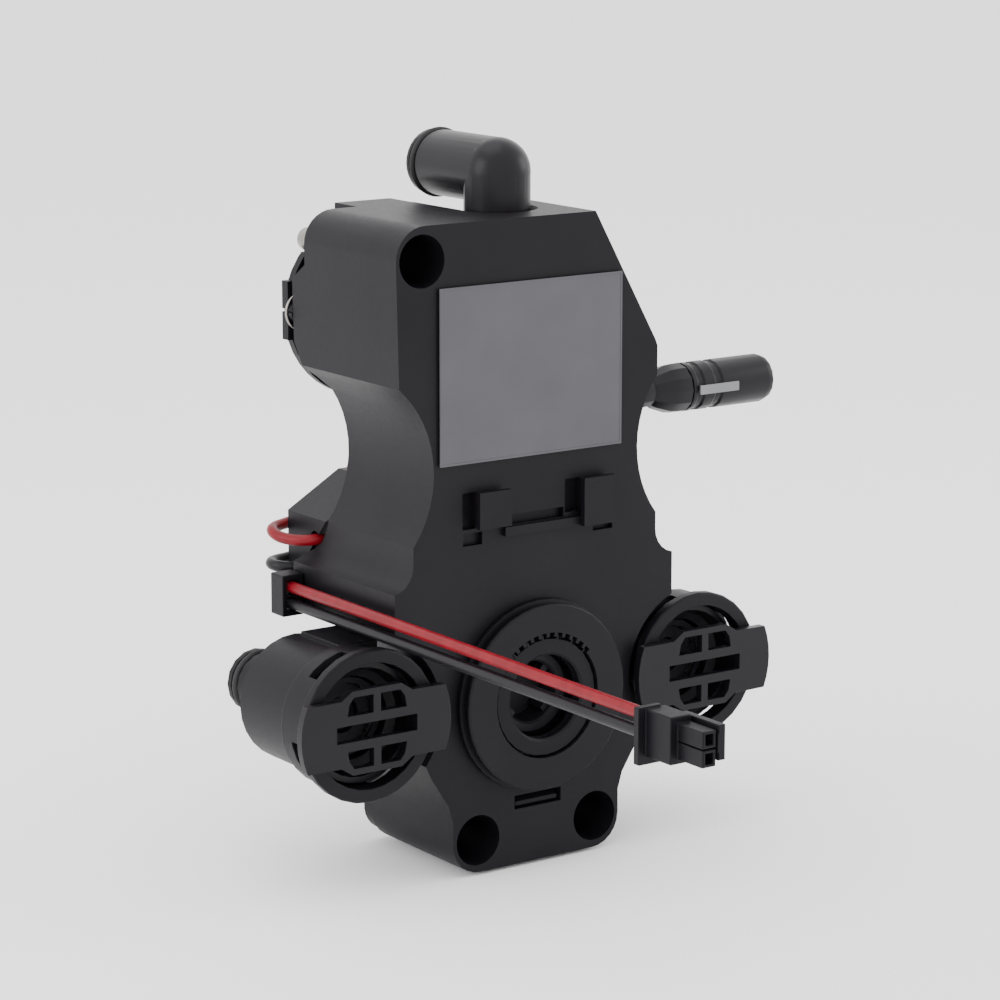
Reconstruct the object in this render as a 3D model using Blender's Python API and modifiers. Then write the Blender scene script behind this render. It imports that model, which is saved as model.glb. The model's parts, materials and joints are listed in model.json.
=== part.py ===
"""A mixing and shut-off valve block for a wall-mounted tap, as the separate pieces it is put together from.

Every length below is in millimetres. x runs to the right, z up, and depth runs back from the housing's
front face. The block screws to a plate by the rear ends of its three bosses. They lie at depth BACK,
which is y = 0 of the finished part. x = 0, z = 0 is the axis of the mixing dial.
"""

import math

import bmesh
import bpy
from mathutils import Matrix, Vector

MM = 0.001

# Driving dimensions
BACK = 31.0              # front face to the plate that the bosses rest on
WALL = 2.4               # housing wall
GAP = 0.3                # running gap between pieces that touch
BOSS_RADIUS = 5.5
COUNTERBORE_RADIUS = 4.9
COUNTERBORE_DEPTH = 22.0
SCREW_HOLE_RADIUS = 2.5
UPPER_SCREW = (-25.7, 84.2)
LOWER_SCREW = (13.6, -26.4)      # and its mirror image
PORT_X = 38.0            # inlet axis to dial axis
PORT_RELIEF = 16.2       # radius of the hollow beside each inlet
SUPPLY_DEPTH = 14.0      # depth of the cross channel between the inlets
ELBOW_X = 0.96
ELBOW_DEPTH = 14.5
ELBOW_ARM_Z = 97.5
TUBE_RADIUS = 6.3
SOLENOID = (-13.0, 70.5)
SEAL_MATERIAL = "seal_rubber"
WIRE_RADIUS = 1.1
LEAD_X = -34.5
RED_Z = 19.3
BLACK_Z = 16.1
COUPLER_DEPTH = 12.0
COUPLER_Z = 52.7
ROUND_STEPS = 28
INNER_STEPS = 16
TWIST = 7.0              # turns rods off the planes that other round shapes have their corners on

COLOURS = {
    "black_plastic": ((0.032, 0.030, 0.034, 1.0), 0.45, 0.0),
    "grey_black_plastic": ((0.050, 0.048, 0.054, 1.0), 0.5, 0.0),
    "natural_plastic": ((0.62, 0.61, 0.57, 1.0), 0.5, 0.0),
    "label_foil": ((0.22, 0.215, 0.23, 1.0), 0.4, 0.0),
    "seal_rubber": ((0.012, 0.012, 0.013, 1.0), 0.75, 0.0),
    "ceramic": ((0.80, 0.79, 0.74, 1.0), 0.25, 0.0),
    "stainless_steel": ((0.62, 0.60, 0.56, 1.0), 0.3, 1.0),
    "spring_steel": ((0.55, 0.56, 0.58, 1.0), 0.25, 1.0),
    "red_insulation": ((0.45, 0.02, 0.035, 1.0), 0.45, 0.0),
    "black_insulation": ((0.025, 0.024, 0.028, 1.0), 0.5, 0.0),
    "coil_resin": ((0.10, 0.10, 0.11, 1.0), 0.5, 0.0),
    "pale_print": ((0.60, 0.60, 0.62, 1.0), 0.5, 0.0),
    "tin_plate": ((0.70, 0.68, 0.62, 1.0), 0.3, 1.0),
}

AXES = {
    "X": Matrix.Rotation(math.radians(90), 4, "Y"),
    "Y": Matrix.Rotation(math.radians(-90), 4, "X"),
    "Z": Matrix.Identity(4),
}


# ---------------------------------------------------------------- scene and placing


def clear_scene():
    for old in list(bpy.data.objects):
        bpy.data.objects.remove(old)


def new_collection(name):
    made = bpy.data.collections.new(name)
    bpy.context.scene.collection.children.link(made)
    return made


def make_materials():
    made = {}
    for name, (colour, roughness, metallic) in COLOURS.items():
        material = bpy.data.materials.new(name)
        material.use_nodes = True
        shader = material.node_tree.nodes["Principled BSDF"]
        shader.inputs["Base Color"].default_value = colour
        shader.inputs["Roughness"].default_value = roughness
        shader.inputs["Metallic"].default_value = metallic
        made[name] = material
    return made


clear_scene()
PARTS = new_collection("valve_block")
CUTTERS = new_collection("cutters")
MATERIALS = make_materials()


def spot(x, depth, z):
    """A point given in millimetres and depth, in the finished part's metres."""
    return Vector((x, depth - BACK, z)) * MM


def finish(obj, material, smooth_angle=35):
    """Puts a piece in the parts collection with its material, or a cutter among the cutters."""
    for used in list(obj.users_collection):
        used.objects.unlink(obj)
    if material is None:
        CUTTERS.objects.link(obj)
        obj.hide_render = True
        obj.display_type = "WIRE"
        return obj
    PARTS.objects.link(obj)
    obj.data.materials.clear()
    obj.data.materials.append(MATERIALS[material])
    if obj.type == "MESH" and obj.data.polygons:
        obj.data.shade_smooth()
        obj.data.set_sharp_from_angle(angle=math.radians(smooth_angle))
    return obj


def mesh_object(name, shape, material):
    mesh = bpy.data.meshes.new(name)
    shape.to_mesh(mesh)
    shape.free()
    return finish(bpy.data.objects.new(name, mesh), material)


# ---------------------------------------------------------------- shapes


def box(name, low, high, material=None):
    """An upright box between two corners (x, depth, z)."""
    shape = bmesh.new()
    bmesh.ops.create_cube(shape, size=1.0)
    a = spot(*low)
    b = spot(*high)
    size = Matrix.Diagonal((*(b - a), 1.0))
    bmesh.ops.transform(shape, matrix=Matrix.Translation((a + b) / 2) @ size, verts=shape.verts)
    return mesh_object(name, shape, material)


def rod(name, axis, at, radius, length, material=None, steps=INNER_STEPS):
    """A cylinder that starts at a point and runs along +axis."""
    shape = bmesh.new()
    bmesh.ops.create_cone(
        shape, cap_ends=True, segments=steps, radius1=radius * MM, radius2=radius * MM, depth=length * MM
    )
    half = Matrix.Translation((0, 0, length * MM / 2)) @ Matrix.Rotation(math.radians(TWIST), 4, "Z")
    bmesh.ops.transform(shape, matrix=half, verts=shape.verts)
    obj = mesh_object(name, shape, material)
    obj.matrix_world = Matrix.Translation(spot(*at)) @ AXES[axis]
    return obj


def turned(name, axis, at, profile, material=None, steps=ROUND_STEPS):
    """A profile of (radius, distance along the axis), turned. It closes on itself, or on the axis."""
    points = list(profile)
    area = 0.0
    for (r1, t1), (r2, t2) in zip(points, points[1:] + points[:1]):
        area += r1 * t2 - r2 * t1
    if area > 0:
        points.reverse()
    on_axis = min(r for r, t in points) < 1e-9
    if on_axis:
        while not (points[0][0] < 1e-9 and points[-1][0] < 1e-9):
            points.append(points.pop(0))
    mesh = bpy.data.meshes.new(name)
    edges = [(i, i + 1) for i in range(len(points) - 1)]
    if not on_axis:
        edges.append((len(points) - 1, 0))
    mesh.from_pydata([(r * MM, 0, t * MM) for r, t in points], edges, [])
    obj = finish(bpy.data.objects.new(name, mesh), material)
    screw = obj.modifiers.new("Turn", "SCREW")
    screw.axis = "Z"
    screw.steps = steps
    screw.render_steps = steps
    screw.use_merge_vertices = True
    screw.merge_threshold = 0.00001
    screw.use_smooth_shade = True
    obj.matrix_world = Matrix.Translation(spot(*at)) @ AXES[axis]
    return obj


def ring(name, axis, at, middle_radius, thickness_radius, material, steps=INNER_STEPS, sides=6):
    """A ring of round section, such as a seal."""
    bpy.ops.mesh.primitive_torus_add(
        major_radius=middle_radius * MM,
        minor_radius=thickness_radius * MM,
        major_segments=steps,
        minor_segments=sides,
    )
    obj = bpy.context.active_object
    obj.name = name
    obj.data.name = name
    obj.matrix_world = Matrix.Translation(spot(*at)) @ AXES[axis]
    return finish(obj, material)


def as_mesh(curve_object, name, material):
    """The curve as a mesh with its caps welded, so that it can be cut or joined."""
    graph = bpy.context.evaluated_depsgraph_get()
    mesh = bpy.data.meshes.new_from_object(curve_object.evaluated_get(graph))
    shape = bmesh.new()
    shape.from_mesh(mesh)
    bmesh.ops.remove_doubles(shape, verts=shape.verts, dist=0.00001)
    bmesh.ops.recalc_face_normals(shape, faces=shape.faces)
    place = curve_object.matrix_world.copy()
    bpy.data.objects.remove(curve_object)
    obj = mesh_object(name, shape, material)
    obj.matrix_world = place
    return obj


def curve_object(name, dimensions):
    curve = bpy.data.curves.new(name, "CURVE")
    curve.dimensions = dimensions
    obj = bpy.data.objects.new(name, curve)
    bpy.context.scene.collection.objects.link(obj)
    return obj


def plate(name, outline, low, high, material=None, facing="front"):
    """A flat outline given thickness from low to high.

    facing "front" takes (x, z) points and depths, "side" takes (depth, z) points and x positions.
    """
    obj = curve_object(name, "2D")
    obj.data.fill_mode = "BOTH"
    obj.data.extrude = (high - low) / 2 * MM
    spline = obj.data.splines.new("POLY")
    spline.points.add(len(outline) - 1)
    for point, (u, v) in zip(spline.points, outline):
        across = u * MM if facing == "front" else (u - BACK) * MM
        point.co = (across, v * MM, 0, 1)
    spline.use_cyclic_u = True
    middle = (low + high) / 2
    upright = Matrix.Rotation(math.radians(90), 4, "X")
    if facing == "front":
        obj.matrix_world = Matrix.Translation((0, (middle - BACK) * MM, 0)) @ upright
    else:
        turn = Matrix.Rotation(math.radians(90), 4, "Z")
        obj.matrix_world = Matrix.Translation((middle * MM, 0, 0)) @ turn @ upright
    bpy.context.view_layer.update()
    return as_mesh(obj, name, material)


def tube(name, points, radius, material, resolution=2, as_curve=True):
    """A round bar along points (x, depth, z)."""
    obj = curve_object(name, "3D")
    obj.data.bevel_depth = radius * MM
    obj.data.bevel_resolution = resolution
    obj.data.use_fill_caps = True
    spline = obj.data.splines.new("POLY")
    spline.points.add(len(points) - 1)
    for point, place in zip(spline.points, points):
        point.co = (*spot(*place), 1)
    if as_curve:
        return finish(obj, material)
    bpy.context.view_layer.update()
    return as_mesh(obj, name, material)


def combine(target, other, operation):
    """Adds or takes away a cutter."""
    change = target.modifiers.new(operation.title(), "BOOLEAN")
    change.operation = operation
    change.object = other
    return target


def cut(target, *cutters):
    for cutter in cutters:
        combine(target, cutter, "DIFFERENCE")
    return target


def join(target, *additions):
    for addition in additions:
        combine(target, addition, "UNION")
    return target


# ---------------------------------------------------------------- outlines and routes


def arc(centre, radius, start, end, count):
    """Points on a circle from one angle to another, in degrees."""
    turns = [start + (end - start) * i / (count - 1) for i in range(count)]
    return [
        (centre[0] + radius * math.cos(math.radians(a)), centre[1] + radius * math.sin(math.radians(a)))
        for a in turns
    ]


def right_side(waist_top):
    """The housing's right edge from the bottom corner up to the top of its waist, at the angle waist_top."""
    foot = arc((13.2, -26.6), 6.1, 270, 360, 7)
    flank = [(19.3, -22.0), (20.3, -18.7), (24.2, -12.6)]
    relief = arc((PORT_X, 0), PORT_RELIEF, 218.6, 111.7, 15)
    ledge = arc((33.0, 28.4), 5.1, 258.7, 180, 6)
    waist = arc((44.8, 45.0), 21.5, 218.2, waist_top, 13)
    return foot + flank + relief + ledge + waist


def front_outline():
    """The housing seen from the front, as (x, z) points, anticlockwise from its foot."""
    right = right_side(141.4)
    top = [(28.0, 64.0), (27.5, 65.2), (13.2, 90.6)]
    corner = arc((-25.0, 84.3), 6.3, 90, 180, 9)
    left = [(-x, z) for x, z in reversed(right_side(130.7))]
    return right + top + corner + left


def inset(outline, distance):
    """The outline moved inwards. Edges that the move turns round are dropped."""
    count = len(outline)
    moved = []
    for i in range(count):
        before = Vector(outline[i - 1])
        here = Vector(outline[i])
        after = Vector(outline[(i + 1) % count])
        one = (here - before).normalized()
        two = (after - here).normalized()
        normals = Vector((-one.y, one.x)) + Vector((-two.y, two.x))
        spread = max(0.35, (1 + one.dot(two)) / 2) ** 0.5
        moved.append(here + normals.normalized() * distance / spread)
    kept = []
    for i in range(count):
        old = Vector(outline[(i + 1) % count]) - Vector(outline[i])
        new = moved[(i + 1) % count] - moved[i]
        if old.dot(new) > 0:
            kept.append(tuple(moved[i]))
    return kept


def smooth_route(anchors, spacing):
    """Evenly spread points on a smooth curve through the anchors."""
    ends = [anchors[0]] + list(anchors) + [anchors[-1]]
    dense = []
    for i in range(len(anchors) - 1):
        p0, p1, p2, p3 = (Vector(p) for p in ends[i : i + 4])
        for step in range(16):
            t = step / 16
            dense.append(
                0.5
                * (
                    2 * p1
                    + (p2 - p0) * t
                    + (2 * p0 - 5 * p1 + 4 * p2 - p3) * t**2
                    + (3 * p1 - p0 - 3 * p2 + p3) * t**3
                )
            )
    dense.append(Vector(anchors[-1]))
    total = sum((b - a).length for a, b in zip(dense, dense[1:]))
    count = max(2, round(total / spacing))
    route = [dense[0]]
    walked = 0.0
    for a, b in zip(dense, dense[1:]):
        length = (b - a).length
        while len(route) < count and walked + length >= total * len(route) / count:
            share = (total * len(route) / count - walked) / length
            route.append(a.lerp(b, share))
        walked += length
    route.append(dense[-1])
    return [tuple(p) for p in route]


def helix(centre_x, centre_z, radius, start, end, turns, per_turn=10):
    """Points along a compression spring whose axis runs back."""
    points = []
    for i in range(turns * per_turn + 1):
        share = i / (turns * per_turn)
        angle = 2 * math.pi * turns * share
        points.append(
            (
                centre_x + radius * math.cos(angle),
                start + (end - start) * share,
                centre_z + radius * math.sin(angle),
            )
        )
    return points


# ---------------------------------------------------------------- housing


REAR_EDGE = [
    (-40.0, 28.0), (12.5, 28.0), (14.6, 35.0), (24.4, 35.0), (25.6, 33.0), (27.4, 30.9), (31.0, 29.0),
    (57.0, 28.6), (60.0, 32.0), (65.5, 35.6), (77.5, 35.6), (80.5, 31.0), (88.0, 31.0),
]


def make_housing():
    deepest = 36.0
    housing = plate("housing", front_outline(), 0.0, deepest, "black_plastic")
    cut(housing, plate("cavity", inset(front_outline(), WALL), WALL, deepest + 4))
    behind = [(depth, z) for z, depth in REAR_EDGE]
    cut(housing, plate("rear_trim", behind + [(60, 88), (60, -40)], -40, 40, facing="side"))
    cut(housing, box("top_trim", (-40, BACK, 87.9), (40, 60, 95)))
    join(housing, box("top_hood", (-19.5, 29, 90.6 - WALL), (-7, 38.8, 90.6)))
    for name, (x, z) in screw_places().items():
        join(housing, rod(f"{name}_boss", "Y", (x, 1.0, z), BOSS_RADIUS, BACK - 1.0, steps=ROUND_STEPS))
    for name, (x, z) in screw_places().items():
        cut(
            housing,
            rod(
                f"{name}_counterbore", "Y", (x, -2, z), COUNTERBORE_RADIUS, COUNTERBORE_DEPTH + 2,
                steps=ROUND_STEPS,
            ),
            rod(f"{name}_hole", "Y", (x, COUNTERBORE_DEPTH - 1, z), SCREW_HOLE_RADIUS, 12),
        )
    cut(housing, rod("cartridge_window", "Y", (0, -2, 0), 12.4, 8, steps=ROUND_STEPS))
    cut(housing, rod("supply_window", "X", (-30, SUPPLY_DEPTH, 0), 4.7, 60))
    cut(housing, rod("elbow_window", "Z", (ELBOW_X, ELBOW_DEPTH, 84), 7.7, 10, steps=ROUND_STEPS))
    cut(housing, box("elbow_slot", (-6.6, ELBOW_DEPTH, 84), (8.6, 60, 94)))
    cut(housing, box("lock_slot", (-5.2, -1, -21.9), (5.6, 5, -19.2)))
    cut(
        housing,
        box("left_hook_pocket", (-17.0, -1, 33.7), (-14.0, 1.5, 40.6)),
        box("left_hook_notch", (-16.9, -1, 30.6), (-12.6, 1.2, 33.0)),
        box("right_hook_pocket", (6.3, -1, 34.2), (9.9, 1.5, 40.6)),
        box("right_hook_notch", (12.9, -1, 29.9), (17.5, 1.2, 31.2)),
        box("rail_recess", (-7.3, -1, 33.5), (6.0, 1.3, 35.4)),
    )
    join(housing, *cable_hooks())
    return housing


def screw_places():
    x, z = LOWER_SCREW
    return {"upper_screw": UPPER_SCREW, "lower_left_screw": (-x, z), "lower_right_screw": (x, z)}


def cable_hooks():
    """Two hooks that stand off the front face and the rail between them."""
    pieces = []
    for side, x, foot in (("left", -14.8, 33.9), ("right", 9.1, 31.6)):
        pieces.append(box(f"{side}_hook_plate", (x, -2.5, foot), (x + 7.2, -1.3, 40.8)))
        pieces.append(box(f"{side}_hook_root", (x + 1.4, -1.8, foot), (x + 7.2, 0.6, 39.2)))
    pieces.append(box("hook_rail", (-8.0, -1.0, 31.6), (9.6, 0.6, 33.3)))
    return pieces


def make_label():
    return box("label_plate", (-22.3, -0.7, 46.2), (19.0, -GAP, 79.0), "label_foil")


def make_back_plate():
    """The lid inside the housing's rear edge."""
    back = plate("back_plate", inset(front_outline(), WALL + 0.5), 25.0, 27.0, "black_plastic")
    for name, (x, z) in screw_places().items():
        cut(back, rod(f"{name}_clearance", "Y", (x, 20, z), BOSS_RADIUS + 0.4, 12))
    cut(back, rod("seat_clearance", "Y", (SOLENOID[0], 20, SOLENOID[1]), 14.5, 12, steps=ROUND_STEPS))
    cut(back, box("elbow_slot_clearance", (-32.0, 20, 79), (9.0, 32, 92)))
    cut(back, box("grommet_window", (-25.2, 20, 13.2), (-21.6, 32, 20.1)))
    rib = box("back_rib", (-2.0, 26.5, -20), (2.0, 28.4, 52))
    cross = box("back_cross_rib", (-17, 26.5, 4), (17, 28.4, 8))
    pad = rod("back_pad", "Y", (0, 26.5, 0), 8.0, BACK - 26.5)
    return join(back, rib, cross, pad)


def make_upper_screw():
    """The upper boss's captive screw: its head lies deep in the counterbore, its shank stands out behind."""
    x, z = UPPER_SCREW
    profile = [
        (0, -3.0), (4.2, -3.0), (4.2, -GAP), (2.2, -GAP), (2.2, 14.8), (1.9, 15.1),
        (1.9, 15.6), (2.2, 15.9), (2.2, 16.9), (1.9, 17.2), (0, 17.2),
    ]
    seat = (x, COUNTERBORE_DEPTH, z)
    return turned("upper_captive_screw", "Y", seat, profile, "stainless_steel", INNER_STEPS)


# ---------------------------------------------------------------- water block


def make_water_block():
    """The moulding that carries the water: cup, supply arms, riser, outlet socket and valve seat."""
    x, z = SOLENOID
    block = turned(
        "water_block", "Y", (0, 2.9, 0),
        [(0, 17.1), (0, 14.7), (10.6, 14.7), (10.6, 0), (13.2, 0), (13.2, 17.1)],
        "grey_black_plastic",
    )
    join(
        block,
        rod("left_arm", "X", (-19.2, SUPPLY_DEPTH, 0), 6.4, 8.2),
        rod("right_arm", "X", (11.0, SUPPLY_DEPTH, 0), 6.4, 8.2),
        rod("riser", "Z", (ELBOW_X, ELBOW_DEPTH, 11.5), 5.5, 66),
        rod("outlet_socket", "Z", (ELBOW_X, ELBOW_DEPTH, 76), 9.2, 9.8, steps=ROUND_STEPS),
        rod("seat_body", "Y", (x, 21.0, z), 14.0, 12.6, steps=ROUND_STEPS),
        rod("seat_flange", "Y", (x, 30.6, z), 15.2, 3.0, steps=ROUND_STEPS),
        rod("seat_feed", "Y", (-2.4, ELBOW_DEPTH, z), 4.4, 8.5),
    )
    hollow = turned(
        "seat_hollow", "Y", (x, 26.0, z),
        [(5.2, 0), (11.2, 0), (11.2, 9.0), (0, 9.0), (0, 4.2), (5.2, 4.2)],
    )
    cut(
        block,
        hollow,
        rod("seat_throat", "Y", (x, 23.5, z), 3.4, 8, steps=INNER_STEPS),
        rod("feed_bore", "Y", (-2.4, ELBOW_DEPTH, z), 2.4, 13),
        rod("throat_link", "X", (x, 24.7, z), 1.6, 10.4),
        rod("riser_bore", "Z", (ELBOW_X, ELBOW_DEPTH, 5), 3.6, 82),
        rod("outlet_bore", "Z", (ELBOW_X, ELBOW_DEPTH, 78.2), 6.9, 9, steps=ROUND_STEPS),
        rod("supply_bore", "X", (-21, SUPPLY_DEPTH, 0), 2.6, 42),
        rod("left_arm_socket", "X", (-20.5, SUPPLY_DEPTH, 0), 4.5, 5.6),
        rod("right_arm_socket", "X", (14.9, SUPPLY_DEPTH, 0), 4.5, 5.6),
        rod("boss_relief", "Y", (UPPER_SCREW[0], 18, UPPER_SCREW[1]), BOSS_RADIUS + 0.4, 20),
    )
    for i, (sx, sz) in enumerate(bonnet_screw_places()):
        cut(block, rod(f"flange_hole_{i}", "Y", (sx, 29, sz), 1.4, 6, steps=12))
    return block


# ---------------------------------------------------------------- mixing cartridge


def make_dial():
    """The grooved dial, with a socket in which the toothed stop ring lies."""
    profile = [
        (8.1, -0.4), (8.1, -1.3), (11.7, -1.3), (11.7, -3.5), (17.7, -3.5), (18.0, -3.2), (18.0, -2.6),
        (16.6, -2.3), (16.6, -1.5), (18.5, -1.2), (18.5, -0.4),
    ]
    dial = turned("mixing_dial", "Y", (0, 0, 0), profile, "black_plastic", 40)
    for i in range(11):
        cut(dial, tooth_gap(f"dial_tooth_gap_{i}", 48 - i * 8.7))
    return dial


def tooth_gap(name, angle):
    """A slot in the dial's inner edge, at an angle from the top."""
    gap = box(name, (-0.55, -4.4, 11.0), (0.55, -1.3, 12.5))
    gap.matrix_world = Matrix.Rotation(math.radians(angle), 4, "Y") @ gap.matrix_world
    return gap


def make_stop_ring():
    """The limiter: a ring with teeth that hold it in the dial until it is lifted out and set elsewhere."""
    ring_profile = [(8.1, -1.6), (8.1, -2.6), (8.6, -3.0), (11.3, -3.0), (11.3, -1.6)]
    stop = turned("stop_ring", "Y", (0, 0, 0), ring_profile, "grey_black_plastic", ROUND_STEPS)
    for i in range(0, 11, 2):
        tooth = box(f"stop_tooth_{i}", (-0.25, -3.0, 10.9), (0.25, -1.6, 12.15))
        turn = Matrix.Rotation(math.radians(48 - i * 8.7), 4, "Y")
        tooth.matrix_world = turn @ tooth.matrix_world
        join(stop, tooth)
    return stop


def make_cartridge():
    spindle = turned(
        "spindle", "Y", (0, 0, 0),
        [
            (0, 10.3), (0, 7.6), (5.9, 7.6), (5.9, 2.2), (6.3, 1.6), (7.7, 1.6), (7.7, 6.3), (10.2, 6.3),
            (10.2, 8.3), (6.0, 8.3), (6.0, 10.3),
        ],
        "grey_black_plastic",
    )
    for i in range(4):
        key = box(f"spindle_key_{i}", (-0.7, 3.0, 4.8), (0.7, 8.0, 6.6))
        key.matrix_world = Matrix.Rotation(math.radians(i * 90 + 45), 4, "Y") @ key.matrix_world
        join(spindle, key)
    turned(
        "cartridge_nut", "Y", (0, 0, 0), [(8.0, 3.2), (10.3, 3.2), (10.3, 6.0), (8.0, 6.0)],
        "grey_black_plastic",
    )
    ring("spindle_seal", "Y", (0, 9.4, 0), 9.2, 0.8, SEAL_MATERIAL)
    moving = turned(
        "moving_ceramic_disc", "Y", (0, 0, 0), [(0, 10.6), (9.9, 10.6), (9.9, 12.6), (0, 12.6)], "ceramic"
    )
    cut(moving, box("mixing_pocket", (-6.0, 11.6, -4.5), (6.0, 13.5, 4.5)))
    fixed = turned(
        "fixed_ceramic_disc", "Y", (0, 0, 0), [(0, 12.9), (10.1, 12.9), (10.1, 15.0), (0, 15.0)], "ceramic"
    )
    for i, angle in enumerate((90, 210, 330)):
        x = 5.6 * math.cos(math.radians(angle))
        z = 5.6 * math.sin(math.radians(angle))
        cut(fixed, rod(f"disc_port_{i}", "Y", (x, 12, z), 2.2, 5, steps=16))


def make_dial_lock():
    """The push-in tongue under the dial, with its wedge nose."""
    outline = [(0.5, -21.5), (0.5, -20.6), (2.6, -19.6), (9.0, -19.6), (9.0, -21.5)]
    return plate("dial_lock", outline, -4.7, 5.1, "grey_black_plastic", facing="side")


# ---------------------------------------------------------------- inlets


def make_inlet(side, x):
    """One inlet: barrel, nozzle, and the service insert that pulls out of its front."""
    make_barrel(side, x)
    make_nozzle(side, x)
    make_service_cap(side, x)
    make_filter(side, x)
    make_check_valve(side, x)


def make_barrel(side, x):
    inward = -1 if x > 0 else 1
    barrel = turned(
        f"{side}_inlet_barrel", "Y", (x, 0, 0),
        [
            (4.2, 27.0), (4.2, 24.2), (10.6, 24.2), (10.6, 7.0), (11.9, 7.0), (11.9, -1.0), (14.2, -1.0),
            (14.5, -0.7), (14.5, 1.0), (13.4, 1.0), (13.4, 8.6), (12.1, 9.2), (12.1, 25.2), (10.6, 27.0),
        ],
        "black_plastic",
    )
    stub_start = x + inward * 11.2 if inward > 0 else x - 22.5
    join(barrel, rod(f"{side}_stub", "X", (stub_start, SUPPLY_DEPTH, 0), 4.15, 11.3))
    web = arc((0, 0), 11.3, 42, 90, 6) + [(0, 13.0), (8.4, 13.0)]
    join(barrel, plate(f"{side}_web", [(x + inward * u, v) for u, v in web], 9.6, 23.0))
    bore_start = x + inward * 9.0 if inward > 0 else x - 24.0
    cut(barrel, rod(f"{side}_stub_bore", "X", (bore_start, SUPPLY_DEPTH, 0), 2.6, 15))
    for i in range(4):
        slot = box(f"{side}_bayonet_slot_{i}", (-4.0, 2.4, 11.0), (4.0, 5.2, 15.5))
        turn = Matrix.Rotation(math.radians(63 + 90 * i), 4, "Y")
        slot.matrix_world = Matrix.Translation((x * MM, 0, 0)) @ turn @ slot.matrix_world
        cut(barrel, slot)
    return barrel


def make_nozzle(side, x):
    turned(
        f"{side}_inlet_nozzle", "Y", (x, 0, 0),
        [
            (2.9, 24.5), (3.9, 24.5), (3.9, 27.3), (6.2, 27.3), (6.2, 36.3), (4.7, 36.3), (4.7, 38.5),
            (6.2, 38.5), (6.2, 39.9), (5.6, 40.5), (2.9, 40.5),
        ],
        "grey_black_plastic", INNER_STEPS,
    )
    ring(f"{side}_nozzle_seal", "Y", (x, 37.4, 0), 5.75, 0.72, SEAL_MATERIAL)


def cap_outline():
    """The winged cap: a band with round ends and a taller middle."""
    end = math.degrees(math.asin(6.2 / 16.2))
    right = arc((0, 0), 16.2, -end, end, 7)
    top = [(7.7, 6.3), (5.3, 7.9), (-5.3, 7.9), (-7.7, 6.3)]
    left = arc((0, 0), 16.2, 180 - end, 180 + end, 7)
    bottom = [(-x, -z) for x, z in top]
    return right + top + left + bottom


def make_service_cap(side, x):
    outline = [(x + u, v) for u, v in cap_outline()]
    cap = plate(f"{side}_service_cap", outline, -3.15, -1.5, "black_plastic")
    skirt = turned(
        f"{side}_cap_skirt", "Y", (x, 0, 0),
        [
            (10.3, 2.4), (11.5, 2.4), (11.5, 6.4), (10.2, 6.4), (10.2, 11.4), (7.9, 11.4), (7.9, 6.0),
            (9.5, 5.2),
        ],
    )
    join(cap, skirt)
    for across in (-1, 1):
        near = x + across * 9.7 - 0.9
        join(cap, box(f"{side}_post_{across}", (near, -2.0, -3.6), (near + 1.8, 3.4, 3.6)))
    cut(cap, box(f"{side}_long_window", (x - 8.7, -4, -1.55), (x + 8.7, 0, 1.55)))
    for across in (-1, 1):
        for up in (-1, 1):
            shape = [(0.8, 3.3), (6.4, 3.3), (6.0, 5.4), (5.0, 6.7), (0.8, 6.7)]
            window = [(x + across * u, up * v) for u, v in shape]
            cut(cap, plate(f"{side}_window_{across}_{up}", window, -4, 0))
    return cap


def make_filter(side, x):
    """A basket with side windows, closed by a rim at its front."""
    basket = turned(
        f"{side}_filter_basket", "Y", (x, 0, 0),
        [(6.4, 7.4), (7.5, 7.4), (7.5, 22.6), (4.4, 22.6), (4.4, 21.6), (6.4, 21.6)],
        "grey_black_plastic", INNER_STEPS,
    )
    for i in range(3):
        window = box(f"{side}_filter_window_{i}", (-9, 12.4, -1.6), (9, 20.4, 1.6))
        turn = Matrix.Rotation(math.radians(60 * i + 30), 4, "Y")
        window.matrix_world = Matrix.Translation((x * MM, 0, 0)) @ turn @ window.matrix_world
        cut(basket, window)


def make_check_valve(side, x):
    turned(
        f"{side}_check_body", "Y", (x, 0, 0),
        [(3.6, 9.0), (6.0, 9.0), (6.0, 18.4), (1.6, 18.4), (1.6, 17.6), (3.6, 17.6)],
        "grey_black_plastic", INNER_STEPS,
    )
    turned(
        f"{side}_check_poppet", "Y", (x, 0, 0),
        [(0, 9.4), (3.1, 9.8), (3.1, 10.8), (1.0, 11.4), (1.0, 19.6), (0, 19.6)],
        "black_plastic", 16,
    )
    tube(f"{side}_check_spring", helix(x, 0, 2.3, 13.4, 17.0, 3), 0.28, "spring_steel", resolution=0)


# ---------------------------------------------------------------- outlet


def knuckle(name, radius, around, rings):
    """A ball where the outlet's two legs meet."""
    shape = bmesh.new()
    bmesh.ops.create_uvsphere(shape, u_segments=around, v_segments=rings, radius=radius * MM)
    obj = mesh_object(name, shape, None)
    tilt = Matrix.Rotation(math.radians(45), 4, "X") @ Matrix.Rotation(math.radians(TWIST), 4, "Z")
    obj.matrix_world = Matrix.Translation(spot(ELBOW_X, ELBOW_DEPTH, ELBOW_ARM_Z)) @ tilt
    return obj


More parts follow.
